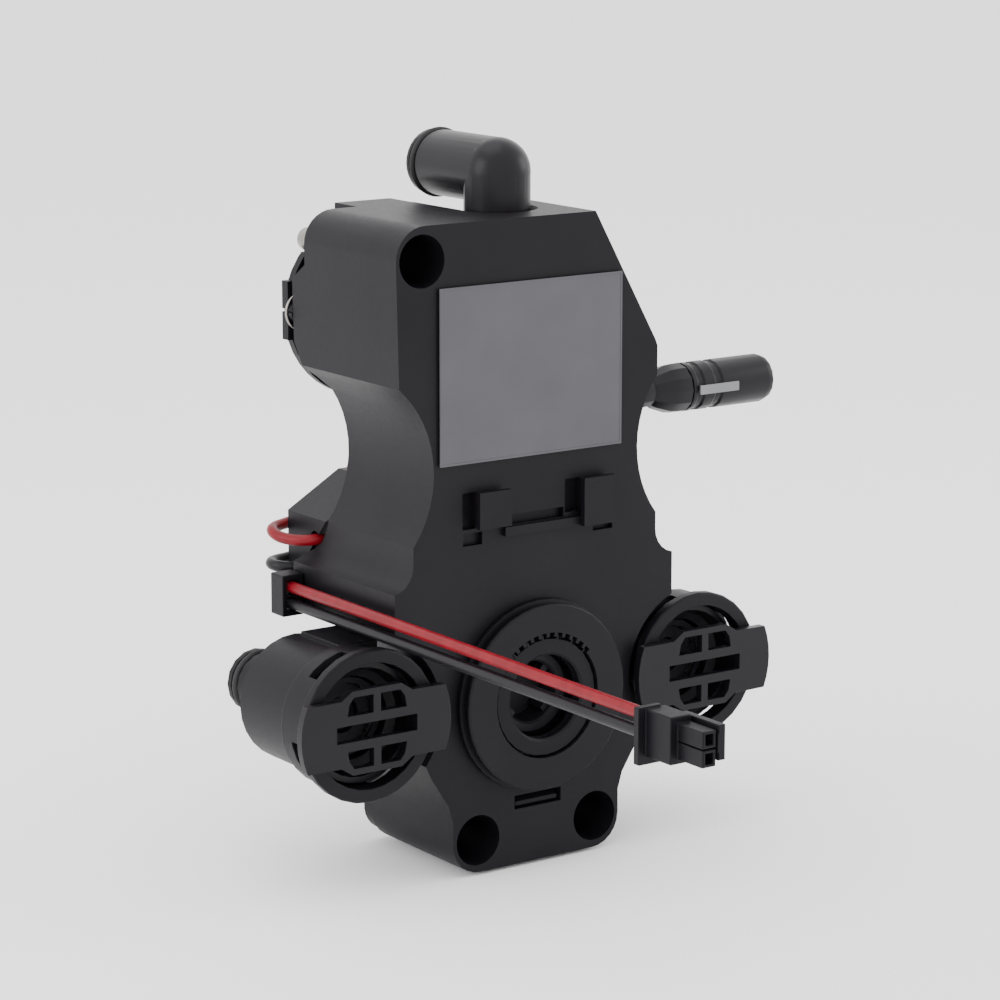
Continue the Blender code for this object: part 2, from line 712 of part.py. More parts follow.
def make_elbow():
    """The swivelling outlet: a round bend whose arm points back."""
    foot_z = 78.6
    foot = rod(
        "outlet_elbow", "Z", (ELBOW_X, ELBOW_DEPTH, foot_z), TUBE_RADIUS, ELBOW_ARM_Z - foot_z, "black_plastic", 32
    )
    arm = turned(
        "elbow_arm", "Y", (ELBOW_X, 0, ELBOW_ARM_Z),
        [(0, ELBOW_DEPTH)]
        + [(TUBE_RADIUS, ELBOW_DEPTH + 0.01), (TUBE_RADIUS, 35.6), (5.7, 36.2), (0, 36.2)],
        None, 32,
    )
    elbow = join(foot, knuckle("elbow_knuckle", TUBE_RADIUS + 0.05, 32, 16), arm)
    cut(
        elbow,
        rod("elbow_foot_bore", "Z", (ELBOW_X, ELBOW_DEPTH, 77), 4.1, ELBOW_ARM_Z - 77, steps=16),
        knuckle("elbow_bore_knuckle", 4.15, 16, 8),
        rod("elbow_arm_bore", "Y", (ELBOW_X, ELBOW_DEPTH, ELBOW_ARM_Z), 4.1, 24, steps=16),
    )
    tip_groove = [(5.0, 32.6), (8.0, 32.6), (8.0, 34.8), (5.0, 34.8)]
    cut(elbow, turned("tip_groove", "Y", (ELBOW_X, 0, ELBOW_ARM_Z), tip_groove))
    foot_groove = [(5.1, 80.4), (8.0, 80.4), (8.0, 82.6), (5.1, 82.6)]
    cut(elbow, turned("foot_groove", "Z", (ELBOW_X, ELBOW_DEPTH, 0), foot_groove))
    ring("elbow_tip_seal", "Y", (ELBOW_X, 33.7, ELBOW_ARM_Z), 6.1, 0.62, SEAL_MATERIAL)
    ring("elbow_foot_seal", "Z", (ELBOW_X, ELBOW_DEPTH, 81.5), 5.98, 0.6, SEAL_MATERIAL)
    turned(
        "elbow_retainer", "Z", (ELBOW_X, ELBOW_DEPTH, 0),
        [(6.7, 86.1), (9.1, 86.1), (9.1, 87.6), (6.7, 87.6)], "natural_plastic", INNER_STEPS,
    )


# ---------------------------------------------------------------- solenoid valve


def bonnet_screw_places():
    x, z = SOLENOID
    angles = [math.radians(a) for a in (90, 210, 330)]
    return [(x + 13.3 * math.cos(a), z + 13.3 * math.sin(a)) for a in angles]


def make_solenoid():
    x, z = SOLENOID
    bonnet = turned(
        "valve_bonnet", "Y", (x, 0, z),
        [(4.7, 31.8), (10.8, 31.8), (10.8, 38.2), (17.4, 38.2), (17.4, 40.0), (4.7, 40.0)],
        "black_plastic", 40,
    )
    join(bonnet, box("bonnet_ear", (-30.8, 37.8, 65.4), (-25.1, 39.85, 76.6)))
    join(bonnet, rod("bonnet_button", "Y", (-28.0, 36.4, 70.8), 2.8, 2.5))
    cut(bonnet, box("ear_notch", (-31.5, 36, 70.7), (-30.2, 42, 71.3)))
    cut(bonnet, rod("screw_relief", "Y", (UPPER_SCREW[0], 36, UPPER_SCREW[1]), 2.6, 6))
    for i, (sx, sz) in enumerate(bonnet_screw_places()):
        cut(bonnet, rod(f"bonnet_hole_{i}", "Y", (sx, 37, sz), 1.45, 5, steps=12))
        turned(
            f"bonnet_screw_{i + 1}", "Y", (sx, 0, sz),
            [(0, 30.9), (1.1, 30.9), (1.1, 40.3), (1.8, 40.3), (1.8, 41.6), (1.5, 41.9), (0, 41.9)],
            "stainless_steel", 16,
        )
    ring("steel_ring", "Y", (-28.0, 37.2, 70.8), 3.5, 0.28, "stainless_steel")
    turned(
        "diaphragm", "Y", (x, 0, z),
        [(0, 30.5), (5.4, 30.5), (5.4, 30.9), (9.6, 30.9), (9.6, 30.2), (10.8, 30.2), (10.8, 31.5), (0, 31.5)],
        SEAL_MATERIAL,
    )
    turned(
        "armature_tube", "Y", (x, 0, z),
        [(3.5, 32.2), (4.3, 32.2), (4.3, 50.4), (0, 50.4), (0, 49.6), (3.5, 49.6)],
        "stainless_steel", INNER_STEPS,
    )
    turned(
        "plunger", "Y", (x, 0, z), [(0, 32.4), (1.4, 32.4), (3.2, 33.6), (3.2, 43.0), (0, 43.0)],
        "stainless_steel", INNER_STEPS,
    )
    tube("plunger_spring", helix(x, z, 1.9, 45.7, 49.0, 3), 0.26, "spring_steel", resolution=0)
    bracket = box("coil_bracket", (x - 9.5, 40.3, 66.2), (x + 9.5, 41.5, 75.8), "stainless_steel")
    cut(bracket, rod("bracket_hole", "Y", (x, 39, z), 4.7, 5))
    turned(
        "coil", "Y", (x, 0, z),
        [(4.6, 41.8), (10.5, 41.8), (10.5, 48.4), (9.9, 49.0), (4.6, 49.0)], "coil_resin",
    )


# ---------------------------------------------------------------- leads


def make_terminal_box():
    """The junction box behind the waist, with its sloping roof."""
    outline = [(29.3, 31.6), (35.4, 24.6), (35.4, 19.1), (43.0, 19.1), (43.0, 38.3), (29.3, 38.3)]
    case = plate("terminal_box", outline, -28.2, -8.0, "black_plastic", facing="side")
    roof = [(-28.9, 31.1), (-16.6, 38.3), (-16.6, 41.0), (-28.9, 41.0)]
    cut(case, plate("roof_slope", roof, 20, 50))
    cut(
        case,
        rod("red_entry", "X", (-30, 33.2, 27.4), WIRE_RADIUS + 2 * GAP, 5, steps=12),
        rod("black_entry", "X", (-30, 37.2, 21.4), WIRE_RADIUS + GAP, 5, steps=12),
    )
    return case


def make_coil_leads():
    """The two short leads from the coil, down behind the terminal box, round its left side and into it."""
    red = [
        (-9.0, 46.0, 59.6), (-9.2, 46.6, 50.0), (-10.2, 46.6, 40.0), (-14.0, 46.4, 32.5), (-20.0, 46.0, 29.4),
        (-26.1, 45.2, 28.6), (-30.6, 43.8, 28.3), (-32.4, 41.9, 28.1), (-32.6, 39.4, 27.5),
        (-31.4, 36.4, 27.2), (-29.7, 34.0, 27.3), (-27.9, 33.2, 27.4), (-26.4, 33.2, 27.4),
    ]
    black = [
        (-6.6, 46.2, 60.6), (-6.6, 46.8, 50.0), (-7.2, 46.8, 38.0), (-10.5, 46.6, 27.0), (-18.0, 46.2, 22.6),
        (-26.1, 45.4, 21.6), (-30.6, 44.2, 21.6), (-32.5, 42.3, 21.6), (-32.4, 40.0, 21.5),
        (-30.8, 38.3, 21.4), (-28.7, 37.4, 21.4), (-26.4, 37.2, 21.4),
    ]
    tube("red_coil_lead", smooth_route(red, 2.0), WIRE_RADIUS, "red_insulation", resolution=1)
    tube("black_coil_lead", smooth_route(black, 2.0), WIRE_RADIUS, "black_insulation", resolution=1)


def make_grommet():
    grommet = box("lead_grommet", (-24.9, 24.0, 13.5), (-21.9, 29.5, 19.8), "seal_rubber")
    return cut(
        grommet,
        rod("grommet_red_hole", "Y", (-23.4, 22, 18.2), 0.9, 9, steps=12),
        rod("grommet_black_hole", "Y", (-23.4, 22, 15.1), 0.9, 9, steps=12),
    )


def make_cable_clip():
    clip = box("cable_clip", (-36.9, 31.0, 13.8), (-32.3, 35.4, 21.8), "black_plastic")
    for name, z in (("red", RED_Z), ("black", BLACK_Z)):
        cut(clip, box(f"{name}_clip_window", (-36.0, 29, z - 1.4), (-33.1, 38, z + 1.4)))
    return clip


def lead_route(clip_height, exit_height):
    """From the grommet, round behind the ledge, through the clip and straight on to the connector."""
    return [
        (-23.4, 29.8, exit_height), (-23.4, 33.0, exit_height), (-24.2, 36.6, exit_height - 0.3),
        (-26.4, 39.2, exit_height - 0.7), (-29.4, 40.2, exit_height - 0.6), (-32.2, 39.2, exit_height - 0.2),
        (-34.0, 36.6, clip_height - 0.4), (LEAD_X, 33.2, clip_height), (LEAD_X, 26.0, clip_height),
        (LEAD_X, 10.0, clip_height), (LEAD_X, -10.0, clip_height), (LEAD_X, -30.0, clip_height),
        (LEAD_X, -50.0, clip_height), (LEAD_X, -68.0, clip_height), (LEAD_X, -80.6, clip_height),
    ]


def make_leads():
    red = smooth_route(lead_route(RED_Z, 18.2), 3.2)
    black = smooth_route(lead_route(BLACK_Z, 15.1), 3.2)
    tube("red_lead", red, WIRE_RADIUS, "red_insulation", resolution=2)
    tube("black_lead", black, WIRE_RADIUS, "black_insulation", resolution=2)


def make_connector():
    """A two-way plug housing: a flange, a body, two silos one above the other and a latch arm beside them."""
    plug = box("connector_housing", (-39.2, -82.1, 12.3), (-34.4, -80.9, 22.0), "black_plastic")
    join(plug, box("plug_body", (-37.6, -88.4, 13.6), (-33.3, -81.5, 21.6)))
    for name, z in (("upper", 18.95), ("lower", 15.8)):
        silo = box(f"{name}_silo", (-36.0, -94.8, z - 1.45), (-33.3, -88.0, z + 1.45))
        join(plug, silo)
    for name, z in (("upper", 18.95), ("lower", 15.8)):
        cut(plug, box(f"{name}_silo_hollow", (-35.4, -96, z - 0.9), (-33.9, -89.2, z + 0.9)))
    for name, z, material in (("red", 18.95, "tin_plate"), ("black", 15.8, "tin_plate")):
        box(f"{name}_terminal", (-34.9, -92.6, z - 0.4), (-34.4, -89.6, z + 0.4), material)
    outline = [(-83.0, 15.2), (-83.0, 20.4), (-85.0, 21.1), (-94.9, 21.1), (-94.9, 15.2)]
    arm = plate("connector_latch", outline, -32.8, -31.5, "black_plastic", facing="side")
    return join(arm, box("latch_nose", (-33.0, -94.9, 16.6), (-32.4, -93.8, 19.7)))


# ---------------------------------------------------------------- coupler


def make_coupler():
    """The barrel coupler at the right: a fixed half on a short boot, and a cap that pulls off it."""
    at = (0, COUPLER_DEPTH, COUPLER_Z)
    turned(
        "coupler_socket", "X", at,
        [
            (0, 25.3), (1.0, 25.3), (2.6, 26.1), (2.9, 29.3), (2.4, 29.6), (2.4, 30.3), (3.0, 30.6),
            (3.2, 32.6), (3.0, 34.8), (3.5, 35.5), (4.65, 38.8), (4.85, 40.6), (4.85, 42.6), (2.2, 42.6),
            (2.2, 53.2), (1.8, 53.6), (0, 53.6),
        ],
        "black_plastic", 12,
    )
    cap_profile = [
        (2.6, 42.9), (4.85, 42.9), (4.85, 43.9), (4.5, 44.2), (4.5, 45.4), (4.85, 45.7), (4.85, 48.2),
        (4.5, 48.5), (4.5, 49.9), (4.85, 50.2), (4.85, 61.6), (4.4, 63.1), (3.4, 63.9), (0, 63.9),
        (0, 54.6), (2.6, 54.6),
    ]
    turned("coupler_cap", "X", at, cap_profile, "black_plastic", INNER_STEPS)
    mark_depth = COUPLER_DEPTH - 4.85
    box(
        "coupler_mark", (43.9, mark_depth - 0.6, COUPLER_Z - 0.9), (53.5, mark_depth - 0.2, COUPLER_Z + 0.9),
        "pale_print",
    )


# ---------------------------------------------------------------- assembly


make_housing()
make_label()
make_back_plate()
make_upper_screw()
make_water_block()
make_dial()
make_stop_ring()
make_cartridge()
make_dial_lock()
for side_name, port_x in (("left", -PORT_X), ("right", PORT_X)):
    make_inlet(side_name, port_x)
make_elbow()
make_solenoid()
make_terminal_box()
make_coil_leads()
make_grommet()
make_cable_clip()
make_leads()
make_connector()
make_coupler()
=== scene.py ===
import json
import math

import bmesh
import bpy
from mathutils import Matrix, Vector


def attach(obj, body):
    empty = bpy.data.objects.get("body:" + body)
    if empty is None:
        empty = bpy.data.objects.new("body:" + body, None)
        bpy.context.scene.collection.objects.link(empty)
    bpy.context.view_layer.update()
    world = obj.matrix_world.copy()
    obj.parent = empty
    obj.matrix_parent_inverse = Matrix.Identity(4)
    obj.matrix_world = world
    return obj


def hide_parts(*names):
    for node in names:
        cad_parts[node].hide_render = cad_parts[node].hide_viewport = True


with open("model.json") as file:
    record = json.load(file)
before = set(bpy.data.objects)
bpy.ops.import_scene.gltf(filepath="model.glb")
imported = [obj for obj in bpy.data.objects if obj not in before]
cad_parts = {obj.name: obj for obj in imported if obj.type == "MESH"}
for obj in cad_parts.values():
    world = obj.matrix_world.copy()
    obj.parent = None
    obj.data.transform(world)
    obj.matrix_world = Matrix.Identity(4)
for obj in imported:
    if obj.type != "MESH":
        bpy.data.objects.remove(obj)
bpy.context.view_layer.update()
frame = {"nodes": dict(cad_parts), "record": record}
NODES = frame["nodes"]

MM = 0.001
BACK = 31.0              # depth of the row frame's origin behind the front face

# The camera that fits the photograph, with its target as x, depth and z in millimetres
AZIMUTH = math.radians(-35.21)
ELEVATION = math.radians(11.925)
DISTANCE = 0.6167
TARGET = (-8.578, 0.0, 38.435)
LENS = 120.0

# The studio, in metres
FLOOR_Z = -0.0334
FLOOR_HALF = 6
SKY_STRENGTH = 2.1
LIGHT_AIM = (0, -0.01, 0.03)


def spot(x, depth, z):
    """Millimetres and depth behind the front face, as a point in the row frame."""
    return Vector((x, depth - BACK, z)) * MM


# ---------------------------------------------------------------- camera, floor and light


def add_camera():
    data = bpy.data.cameras.new("camera")
    data.lens = LENS
    data.sensor_width = 36
    data.clip_start = 0.01
    data.clip_end = 20
    camera = bpy.data.objects.new("camera", data)
    bpy.context.scene.collection.objects.link(camera)
    away = Vector(
        (
            math.sin(AZIMUTH) * math.cos(ELEVATION),
            -math.cos(AZIMUTH) * math.cos(ELEVATION),
            math.sin(ELEVATION),
        )
    )
    camera.location = spot(*TARGET) + away * DISTANCE
    camera.rotation_euler = (-away).to_track_quat("-Z", "Y").to_euler()
    bpy.context.scene.camera = camera


def add_light(name, location, size, power, colour=(1, 1, 1)):
    data = bpy.data.lights.new(name, "AREA")
    data.shape = "SQUARE"
    data.size = size
    data.energy = power
    data.color = colour
    lamp = bpy.data.objects.new(name, data)
    lamp.location = location
    aim = Vector(LIGHT_AIM) - Vector(location)
    lamp.rotation_euler = aim.to_track_quat("-Z", "Y").to_euler()
    bpy.context.scene.collection.objects.link(lamp)


def add_studio():
    world = bpy.data.worlds.new("studio")
    world.use_nodes = True
    sky = world.node_tree.nodes["Background"]
    sky.inputs["Color"].default_value = (1.0, 1.0, 1.0, 1)
    sky.inputs["Strength"].default_value = SKY_STRENGTH
    bpy.context.scene.world = world
    add_light("left_key", (-0.75, 0.10, 0.32), 0.5, 3.0)
    add_light("top_fill", (-0.15, 0.05, 0.85), 0.6, 2.0)
    add_light("right_rim", (0.65, -0.25, 0.25), 0.35, 1.2)
    mesh = bpy.data.meshes.new("floor")
    shape = bmesh.new()
    bmesh.ops.create_grid(shape, x_segments=1, y_segments=1, size=FLOOR_HALF)
    shape.to_mesh(mesh)
    shape.free()
    floor = bpy.data.objects.new("floor", mesh)
    floor.location = (0, 0, FLOOR_Z)
    bpy.context.scene.collection.objects.link(floor)
    material = bpy.data.materials.new("floor_paint")
    material.use_nodes = True
    shader = material.node_tree.nodes["Principled BSDF"]
    shader.inputs["Base Color"].default_value = (0.93, 0.93, 0.93, 1)
    shader.inputs["Roughness"].default_value = 0.9
    mesh.materials.append(material)


# ---------------------------------------------------------------- materials


class Recipe:
    """A material being built: every surface here is a Principled shader fed by noise at a few scales."""

    def __init__(self, name):
        self.material = bpy.data.materials.new(name)
        self.material.use_nodes = True
        self.tree = self.material.node_tree
        self.shader = self.tree.nodes["Principled BSDF"]
        self.place = self.node("ShaderNodeTexCoord").outputs["Object"]

    def node(self, kind, **settings):
        made = self.tree.nodes.new(kind)
        for key, value in settings.items():
            if hasattr(made, key):
                setattr(made, key, value)
            else:
                made.inputs[key].default_value = value
        return made

    def link(self, a, b):
        self.tree.links.new(a, b)

    def noise(self, scale, detail=3.0, stretch=None):
        made = self.node("ShaderNodeTexNoise", Scale=scale, Detail=detail)
        source = self.place
        if stretch:
            mapping = self.node("ShaderNodeMapping")
            mapping.inputs["Scale"].default_value = stretch
            self.link(source, mapping.inputs["Vector"])
            source = mapping.outputs["Vector"]
        self.link(source, made.inputs["Vector"])
        return made.outputs["Fac"]

    def ramp(self, factor, dark, light, low=0.3, high=0.7):
        made = self.node("ShaderNodeValToRGB")
        made.color_ramp.elements[0].position = low
        made.color_ramp.elements[0].color = (*dark, 1)
        made.color_ramp.elements[1].position = high
        made.color_ramp.elements[1].color = (*light, 1)
        self.link(factor, made.inputs["Fac"])
        return made.outputs["Color"]

    def span(self, factor, low, high):
        made = self.node("ShaderNodeMapRange")
        made.inputs["To Min"].default_value = low
        made.inputs["To Max"].default_value = high
        self.link(factor, made.inputs["Value"])
        return made.outputs["Result"]

    def colour(self, dark, light, scale):
        """Slow drift of colour over the surface."""
        self.link(self.ramp(self.noise(scale, detail=4.0), dark, light), self.shader.inputs["Base Color"])

    def rough(self, low, high, scale=900.0):
        self.link(self.span(self.noise(scale), low, high), self.shader.inputs["Roughness"])

    def bump(self, *layers):
        """Each layer is (height source, depth in metres, strength)."""
        normal = None
        for source, depth, strength in layers:
            made = self.node("ShaderNodeBump", Distance=depth, Strength=strength)
            self.link(source, made.inputs["Height"])
            if normal is not None:
                self.link(normal, made.inputs["Normal"])
            normal = made.outputs["Normal"]
        self.link(normal, self.shader.inputs["Normal"])

    def set(self, **values):
        for key, value in values.items():
            self.shader.inputs[key.replace("_", " ")].default_value = value


def moulded(name, dark, light, low, high, specular=0.3, grain=0.00002):
    """Injection-moulded plastic: fine spark-eroded grain and faint flow marks. Low and high are roughness."""
    recipe = Recipe(name)
    recipe.colour(dark, light, scale=60.0)
    recipe.rough(low, high)
    recipe.bump(
        (recipe.noise(5200.0, detail=2.0), grain, 0.35),
        (recipe.noise(170.0, detail=2.0), 0.00004, 0.25),
    )
    recipe.shader.inputs["Specular IOR Level"].default_value = specular
    return recipe.material


def rubber(name):
    recipe = Recipe(name)
    recipe.colour((0.008, 0.008, 0.009), (0.016, 0.016, 0.017), scale=400.0)
    recipe.rough(0.55, 0.75)
    recipe.bump((recipe.noise(3800.0), 0.00002, 0.4))
    recipe.shader.inputs["Specular IOR Level"].default_value = 0.3
    return recipe.material


def steel(name, dark, light, low, high, stretch):
    """Turned or drawn metal: stretch squeezes the noise into fine lines. Low and high are roughness."""
    recipe = Recipe(name)
    recipe.colour(dark, light, scale=500.0)
    lines = recipe.noise(900.0, detail=4.0, stretch=stretch)
    recipe.link(recipe.span(lines, low, high), recipe.shader.inputs["Roughness"])
    recipe.bump((lines, 0.00002, 0.25))
    recipe.set(Metallic=1.0)
    return recipe.material


def insulation(name, dark, light):
    recipe = Recipe(name)
    recipe.colour(dark, light, scale=350.0)
    recipe.rough(0.32, 0.45)
    recipe.bump((recipe.noise(1500.0, detail=2.0, stretch=(1, 0.06, 1)), 0.00003, 0.35))
    recipe.shader.inputs["Specular IOR Level"].default_value = 0.22
    return recipe.material


def foil():
    """Satin foil: a bare grey label with a fine grain."""
    recipe = Recipe("bare_label_foil")
    recipe.colour((0.054, 0.052, 0.060), (0.062, 0.060, 0.069), scale=90.0)
    recipe.rough(0.42, 0.55)
    recipe.bump((recipe.noise(2500.0, detail=2.0, stretch=(1, 1, 12)), 0.00001, 0.25))
    recipe.shader.inputs["Specular IOR Level"].default_value = 0.35
    return recipe.material


def wound():
    """Moulded-over coil: the turns show faintly through the skin as rings across the axis."""
    recipe = Recipe("coil_overmould")
    recipe.colour((0.05, 0.05, 0.055), (0.08, 0.08, 0.085), scale=120.0)
    recipe.rough(0.4, 0.55)
    wave = recipe.node("ShaderNodeTexWave", Scale=320.0, Distortion=0.4)
    wave.bands_direction = "Y"
    recipe.link(recipe.place, wave.inputs["Vector"])
    recipe.bump((wave.outputs["Fac"], 0.00012, 0.5), (recipe.noise(3000.0), 0.00002, 0.3))
    return recipe.material


def screen():
    """Woven filter mesh: two sets of fine wires, in a dark grey that is painted shade for the inside of the
    basket.
    """
    recipe = Recipe("filter_mesh_painted_shade")
    recipe.colour((0.020, 0.019, 0.021), (0.040, 0.038, 0.042), scale=700.0)
    recipe.rough(0.35, 0.5)
    layers = []
    for direction in ("Y", "Z"):
        wave = recipe.node("ShaderNodeTexWave", Scale=700.0)
        wave.bands_direction = direction
        recipe.link(recipe.place, wave.inputs["Vector"])
        layers.append((wave.outputs["Fac"], 0.0002, 0.8))
    recipe.bump(*layers)
    recipe.set(Metallic=0.2)
    return recipe.material


def make_materials():
    """One material for each slot of the record, and three more for some pieces; among them are the grey for
    the pieces in the hollows and the dark filter mesh, both painted shade.
    """
    return {
        "black_plastic": moulded(
            "black_plastic_moulding", (0.0046, 0.0039, 0.0056), (0.0066, 0.0056, 0.0080),
            0.38, 0.48, specular=0.13,
        ),
        "grey_black_plastic": moulded(
            "grey_black_plastic_moulding", (0.0042, 0.0036, 0.0050), (0.0060, 0.0052, 0.0070),
            0.42, 0.52, specular=0.12,
        ),
        # Painted shade: a flat grey matched to the shade in the hollows of the caps and the dial, given to
        # the pieces there in place of their own colour.
        "hollow_shade_grey": moulded(
            "hollow_shade_grey_moulding", (0.0085, 0.0074, 0.0098), (0.0120, 0.0106, 0.0138),
            0.42, 0.52, specular=0.15,
        ),
        "gloss_black": moulded(
            "gloss_black_moulding", (0.0050, 0.0043, 0.0060), (0.0068, 0.0059, 0.0080),
            0.28, 0.36, specular=0.18,
        ),
        "natural_plastic": moulded(
            "natural_plastic_moulding", (0.40, 0.39, 0.36), (0.55, 0.54, 0.50), 0.45, 0.55
        ),
        "label_foil": foil(),
        "seal_rubber": rubber("seal_rubber_matt"),
        "ceramic": moulded(
            "lapped_ceramic", (0.70, 0.69, 0.64), (0.82, 0.81, 0.77),
            0.15, 0.25, specular=0.5, grain=0.000004,
        ),
        "stainless_steel": steel(
            "brushed_stainless", (0.24, 0.23, 0.21), (0.34, 0.325, 0.30), 0.25, 0.45, (1, 14, 1)
        ),
        "spring_steel": steel(
            "drawn_spring_steel", (0.45, 0.46, 0.48), (0.62, 0.63, 0.65), 0.2, 0.35, (1, 4, 1)
        ),
        "red_insulation": insulation(
            "red_lead_insulation", (0.135, 0.0014, 0.0060), (0.185, 0.0022, 0.0085)
        ),
        "black_insulation": insulation(
            "black_lead_insulation", (0.0042, 0.0036, 0.0050), (0.0066, 0.0058, 0.0076)
        ),
        "coil_resin": wound(),
        "pale_print": moulded(
            "pale_marking_ink", (0.15, 0.15, 0.162), (0.19, 0.19, 0.205), 0.45, 0.55
        ),
        "tin_plate": steel("tinned_terminal", (0.55, 0.54, 0.50), (0.75, 0.73, 0.68), 0.2, 0.35, (1, 1, 8)),
        # The filter mesh's dark grey is painted shade.
        "filter_mesh_painted_shade": screen(),
    }


# ---------------------------------------------------------------- finish on the CAD nodes


WELD_DISTANCE = 0.000002         # metres
COARSE_LIMIT = 24                # degrees between faces that shade as one
FINE_LIMIT = 20
BEVEL_FROM = math.radians(42)    # edges sharper than this are rounded
FLAT_WEIGHT = 100                # how far the largest face rules a corner's normal


def shading_group(name, limit):
    """Joins the split corners and shades smooth wherever faces meet at less than limit degrees."""
    group = bpy.data.node_groups.new(name, "GeometryNodeTree")
    group.interface.new_socket("Geometry", in_out="INPUT", socket_type="NodeSocketGeometry")
    group.interface.new_socket("Geometry", in_out="OUTPUT", socket_type="NodeSocketGeometry")
    source = group.nodes.new("NodeGroupInput")
    drain = group.nodes.new("NodeGroupOutput")
    merge = group.nodes.new("GeometryNodeMergeByDistance")
    merge.inputs["Distance"].default_value = WELD_DISTANCE
    bare = group.nodes.new("GeometryNodeRemoveAttribute")
    bare.inputs["Name"].default_value = "custom_normal"
    faces = group.nodes.new("GeometryNodeSetShadeSmooth")
    faces.domain = "FACE"
    edges = group.nodes.new("GeometryNodeSetShadeSmooth")
    edges.domain = "EDGE"
    edges.inputs["Shade Smooth"].default_value = False
    angle = group.nodes.new("GeometryNodeInputMeshEdgeAngle")
    compare = group.nodes.new("FunctionNodeCompare")
    compare.data_type = "FLOAT"
    compare.operation = "GREATER_THAN"
    compare.inputs[1].default_value = math.radians(limit)
    group.links.new(source.outputs[0], merge.inputs["Geometry"])
    group.links.new(merge.outputs["Geometry"], bare.inputs["Geometry"])
    group.links.new(bare.outputs["Geometry"], faces.inputs["Geometry"])
    group.links.new(faces.outputs["Geometry"], edges.inputs["Geometry"])
    group.links.new(angle.outputs["Unsigned Angle"], compare.inputs[0])
    group.links.new(compare.outputs["Result"], edges.inputs["Selection"])
    group.links.new(edges.outputs["Geometry"], drain.inputs[0])
    return group


# Widths of the soft edges, in millimetres
BEVELS = {
    "housing": 0.45, "left_service_cap": 0.35, "right_service_cap": 0.35, "mixing_dial": 0.18,
    "connector_housing": 0.25, "connector_latch": 0.2, "terminal_box": 0.5, "cable_clip": 0.25,
    "valve_bonnet": 0.25, "coil_bracket": 0.15, "label_plate": 0.12, "dial_lock": 0.2,
    "left_inlet_barrel": 0.25, "right_inlet_barrel": 0.25, "coupler_mark": 0.1, "back_plate": 0.25,
    "stop_ring": 0.12, "spindle": 0.2, "coupler_cap": 0.15,
    "left_inlet_nozzle": 0.2, "right_inlet_nozzle": 0.2, "outlet_elbow": 0.2, "water_block": 0.2,
}

# Turned pieces with 16 sides, whose sides meet at 22.5 degrees
COARSE_ROUNDS = ("coupler_cap", "left_inlet_nozzle", "right_inlet_nozzle", "spindle")


def finish_cad_nodes(materials, slots):
    """A bevel's first strip meets its flat face at 22.5 degrees, so the finer limit keeps flat faces flat."""
    coarse = shading_group("smooth_coarse_rounds", COARSE_LIMIT)
    fine = shading_group("smooth_fine_rounds", FINE_LIMIT)
    for name, node in NODES.items():
        group = fine if name in BEVELS and name not in COARSE_ROUNDS else coarse
        weld = node.modifiers.new("Join corners", "NODES")
        weld.node_group = group
        if name in BEVELS:
            bevel = node.modifiers.new("Soft edges", "BEVEL")
            bevel.width = BEVELS[name] * MM
            bevel.segments = 2
            bevel.limit_method = "ANGLE"
            bevel.angle_limit = BEVEL_FROM
            bevel.use_clamp_overlap = True
            bevel.miter_outer = "MITER_ARC"
            smooth = node.modifiers.new("Shade", "NODES")
            smooth.node_group = group
        weighted = node.modifiers.new("Flat faces stay flat", "WEIGHTED_NORMAL")
        weighted.weight = FLAT_WEIGHT
        weighted.keep_sharp = True
        node.data.materials.clear()
        node.data.materials.append(materials[slots[name]])


# ---------------------------------------------------------------- detailed pieces


def publish(name, mesh, material, body, slot_name, *stands_for):
    obj = bpy.data.objects.new(name, mesh) if isinstance(mesh, bpy.types.Mesh) else mesh
    if not obj.users_collection:
        bpy.context.scene.collection.objects.link(obj)
    obj.data.materials.clear()
    obj.data.materials.append(material)
    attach(obj, body)
    if stands_for:
        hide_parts(*stands_for)
    return obj


def oriented(axis):
    return {
        "X": Matrix.Rotation(math.radians(90), 4, "Y"),
        "Y": Matrix.Rotation(math.radians(-90), 4, "X"),
        "Z": Matrix.Identity(4),
    }[axis]


RING_SHARP_FROM = math.radians(40)


def swept_ring(name, axis, at, radius, section, steps=72):
    """A closed section of (radial offset, axial offset) points swept round a circle."""
    shape = bmesh.new()
    loops = []
    for i in range(steps):
        angle = 2 * math.pi * i / steps
        cosine = math.cos(angle)
        sine = math.sin(angle)
        places = [((radius + r) * MM * cosine, (radius + r) * MM * sine, t * MM) for r, t in section]
        loops.append([shape.verts.new(place) for place in places])
    count = len(section)
    for i in range(steps):
        for j in range(count):
            a = loops[i][j]
            b = loops[(i + 1) % steps][j]
            c = loops[(i + 1) % steps][(j + 1) % count]
            d = loops[i][(j + 1) % count]
            shape.faces.new((a, b, c, d))
    bmesh.ops.transform(shape, matrix=Matrix.Translation(spot(*at)) @ oriented(axis), verts=shape.verts)
    bmesh.ops.recalc_face_normals(shape, faces=shape.faces)
    mesh = bpy.data.meshes.new(name)
    shape.to_mesh(mesh)
    shape.free()
    mesh.shade_smooth()
    mesh.set_sharp_from_angle(angle=RING_SHARP_FROM)
    return mesh


def round_section(radius, sides=14):
    return [
        (radius * math.cos(2 * math.pi * i / sides), radius * math.sin(2 * math.pi * i / sides))
        for i in range(sides)
    ]


CURVE_STEPS = 16         # points between two anchors before they are spread evenly


